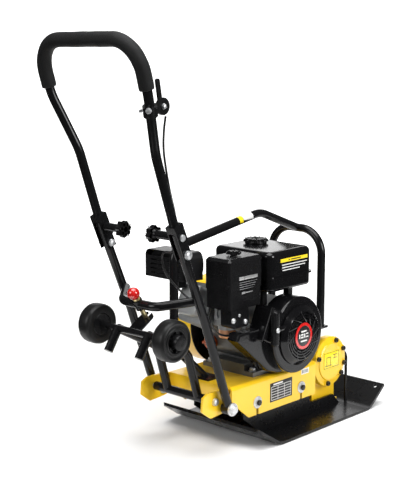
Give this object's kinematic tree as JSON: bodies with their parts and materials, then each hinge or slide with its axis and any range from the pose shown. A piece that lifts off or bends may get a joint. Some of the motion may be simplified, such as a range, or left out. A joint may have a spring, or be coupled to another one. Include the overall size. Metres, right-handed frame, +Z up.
{
  "type": "forward plate compactor",
  "caption": "Forward plate compactor: lipped base plate, exciter, engine on a sprung deck, tube cage, folding handle with foam grip and stowed transport wheels.",
  "frame": {"origin": "middle of the base plate's flat underside, on the ground", "axes": "+Z up, +Y forwards in the direction of travel, +X to the machine's right, the recoil starter's side"},
  "size_m": [0.353, 0.9585, 1.0175],
  "materials": {
    "plate_black": "satin black paint",
    "frame_black": "satin black powder coat",
    "machine_yellow": "semi gloss yellow paint",
    "engine_black": "gloss black enamel",
    "tank_black": "gloss black enamel",
    "muffler_black": "matt heat resistant black",
    "bearing_steel": "ground steel",
    "pulley_iron": "machined cast iron",
    "buffer_rubber": "matt rubber",
    "zinc_steel": "bright zinc plate",
    "cast_aluminium": "as cast",
    "orange_plastic": "orange brown plastic",
    "black_plastic": "moulded grain",
    "filter_foam": "open foam",
    "bowl_brass": "copper coloured plate",
    "yellow_zinc": "yellow zinc plate",
    "ball_red": "gloss red",
    "grip_foam": "foam rubber",
    "cable_black": "cable sheath",
    "wheel_rubber": "solid rubber",
    "label_white": "printed foil"
  },
  "bodies": {
    "machine": {"base_plate": "plate_black", "plate_ribs": "plate_black", "exciter_housing": "machine_yellow", "exciter_covers": "machine_yellow", "exciter_bearings": "bearing_steel", "deck": "machine_yellow", "rubber_buffers": "buffer_rubber", "deck_bolts": "zinc_steel", "crankcase": "cast_aluminium", "cylinder": "cast_aluminium", "cylinder_head": "cast_aluminium", "engine_bolts": "zinc_steel", "fan_shroud": "engine_black", "recoil_cover": "engine_black", "fuel_tank": "tank_black", "tank_mounts": "buffer_rubber", "air_cleaner_base": "black_plastic", "air_cleaner_cover": "black_plastic", "air_filter": "filter_foam", "carburettor": "cast_aluminium", "carburettor_bowl": "bowl_brass", "muffler": "muffler_black", "muffler_shield": "muffler_black", "drive_belt": "buffer_rubber", "belt_guard": "machine_yellow", "guard_back": "plate_black", "cage_hoop": "frame_black", "cage_bar": "frame_black", "cage_riser": "frame_black", "rear_brackets": "machine_yellow", "lower_handle": "frame_black", "bow_brace": "frame_black", "handle_bolts": "zinc_steel", "cable_lower": "cable_black", "labels": "label_white"},
    "exciter_rotor": {"exciter_shaft": "bearing_steel", "exciter_pulley": "pulley_iron"},
    "crank_train": {"crankshaft": "bearing_steel", "flywheel": "pulley_iron", "clutch_drum": "pulley_iron"},
    "oil_cap": {"oil_cap": "orange_plastic"},
    "fuel_cap": {"fuel_cap": "black_plastic"},
    "wing_nut": {"wing_nut": "black_plastic"},
    "starter_grip": {"starter_grip": "black_plastic"},
    "choke_lever": {"choke_lever": "zinc_steel"},
    "throttle_arm": {"throttle_arm": "zinc_steel"},
    "latch": {"latch_pin": "yellow_zinc", "latch_ball": "ball_red"},
    "upper_handle": {"upper_handle": "frame_black", "foam_grip": "grip_foam", "throttle_clamp": "black_plastic", "cable_upper": "cable_black"},
    "throttle_lever": {"throttle_lever": "black_plastic"},
    "knob_left": {"knob_left": "black_plastic"},
    "knob_right": {"knob_right": "black_plastic"},
    "carriage": {"carriage_frame": "frame_black"},
    "wheel_left": {"tyre_left": "wheel_rubber", "hub_left": "black_plastic"},
    "wheel_right": {"tyre_right": "wheel_rubber", "hub_right": "black_plastic"}
  },
  "joints": [
    {"name": "crank_spin", "type": "hinge", "parent": "machine", "child": "crank_train", "pos_m": [-0.1, -0.097, 0.263], "axis": [1, 0, 0], "continuous": true},
    {"name": "exciter_spin", "type": "hinge", "parent": "machine", "child": "exciter_rotor", "pos_m": [-0.05, 0.112, 0.14], "axis": [1, 0, 0], "continuous": true},
    {"name": "handle_fold", "type": "hinge", "parent": "machine", "child": "upper_handle", "pos_m": [0, -0.497, 0.521], "axis": [1, 0, 0], "range_deg": [-104, 0]},
    {"name": "knob_left_turn", "type": "hinge", "parent": "upper_handle", "child": "knob_left", "pos_m": [-0.053, -0.51484, 0.56231], "axis": [1, 0, 0], "continuous": true},
    {"name": "knob_right_turn", "type": "hinge", "parent": "upper_handle", "child": "knob_right", "pos_m": [0.053, -0.51484, 0.56231], "axis": [1, 0, 0], "continuous": true},
    {"name": "throttle_turn", "type": "hinge", "parent": "upper_handle", "child": "throttle_lever", "pos_m": [0.155, -0.58996, 0.85914], "axis": [1, 0, 0], "range_deg": [-50, 0]},
    {"name": "throttle_arm_turn", "type": "hinge", "parent": "machine", "child": "throttle_arm", "pos_m": [0.085, -0.226, 0.304], "axis": [1, 0, 0], "range_deg": [-30, 0]},
    {"name": "choke_turn", "type": "hinge", "parent": "machine", "child": "choke_lever", "pos_m": [0.028, -0.2745, 0.32], "axis": [0, 1, 0], "range_deg": [0, 60]},
    {"name": "latch_pull", "type": "slide", "parent": "machine", "child": "latch", "axis": [0, -0.53, 0.848], "range_m": [0, 0.016], "stiffness_N_per_m": 900, "springref_m": -0.01},
    {"name": "carriage_swing", "type": "hinge", "parent": "machine", "child": "carriage", "pos_m": [0, -0.367, 0.139], "axis": [1, 0, 0], "range_deg": [0, 69]},
    {"name": "wheel_left_spin", "type": "hinge", "parent": "carriage", "child": "wheel_left", "pos_m": [-0.1255, -0.534, 0.326], "axis": [1, 0, 0], "continuous": true},
    {"name": "wheel_right_spin", "type": "hinge", "parent": "carriage", "child": "wheel_right", "pos_m": [0.1255, -0.534, 0.326], "axis": [1, 0, 0], "continuous": true},
    {"name": "starter_pull", "type": "slide", "parent": "machine", "child": "starter_grip", "axis": [0, -1, 0], "range_m": [0, 0.03], "stiffness_N_per_m": 150, "springref_m": -0.02},
    {"name": "fuel_cap_turn", "type": "hinge", "parent": "machine", "child": "fuel_cap", "pos_m": [-0.017, -0.071, 0.49], "axis": [0, 0, 1], "range_deg": [0, 90]},
    {"name": "oil_cap_turn", "type": "hinge", "parent": "machine", "child": "oil_cap", "pos_m": [-0.07, -0.19, 0.222], "axis": [0, 1, 0], "continuous": true},
    {"name": "wing_nut_turn", "type": "hinge", "parent": "machine", "child": "wing_nut", "pos_m": [0.0625, -0.249, 0.482], "axis": [0, 0, 1], "continuous": true}
  ],
  "couplings": [
    {"joint": "exciter_spin", "follows": "crank_spin", "ratio": 1.5},
    {"joint": "throttle_arm_turn", "follows": "throttle_turn", "ratio": 0.6}
  ]
}
